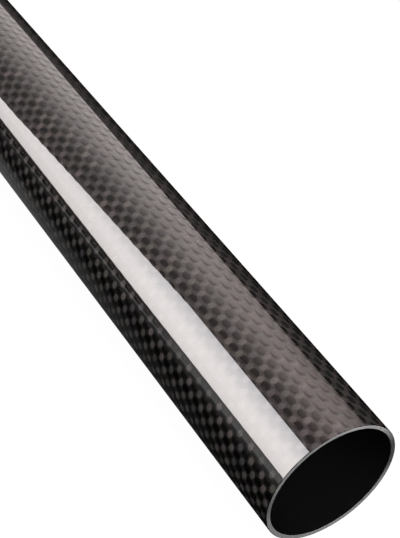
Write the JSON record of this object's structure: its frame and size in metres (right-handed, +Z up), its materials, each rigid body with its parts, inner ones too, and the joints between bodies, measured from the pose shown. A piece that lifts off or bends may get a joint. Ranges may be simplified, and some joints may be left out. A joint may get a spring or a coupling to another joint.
{
  "type": "carbon fibre tube",
  "caption": "Round thin-walled carbon fibre tube, roll-wrapped, with a plain-weave outer ply under a gloss clear coat; stock to be cut, bonded at the bore and clamped outside.",
  "frame": {"origin": "on the floor, under the middle of the tube's length; the tube's axis is one outside radius above it", "axes": "+X along the tube's axis, towards the end that faces the camera in the picture; +Z up; +Y across the tube"},
  "size_m": [0.3, 0.03, 0.03],
  "materials": {
    "carbon_laminate": "gloss"
  },
  "bodies": {
    "root": {"tube": "carbon_laminate"}
  },
  "joints": []
}
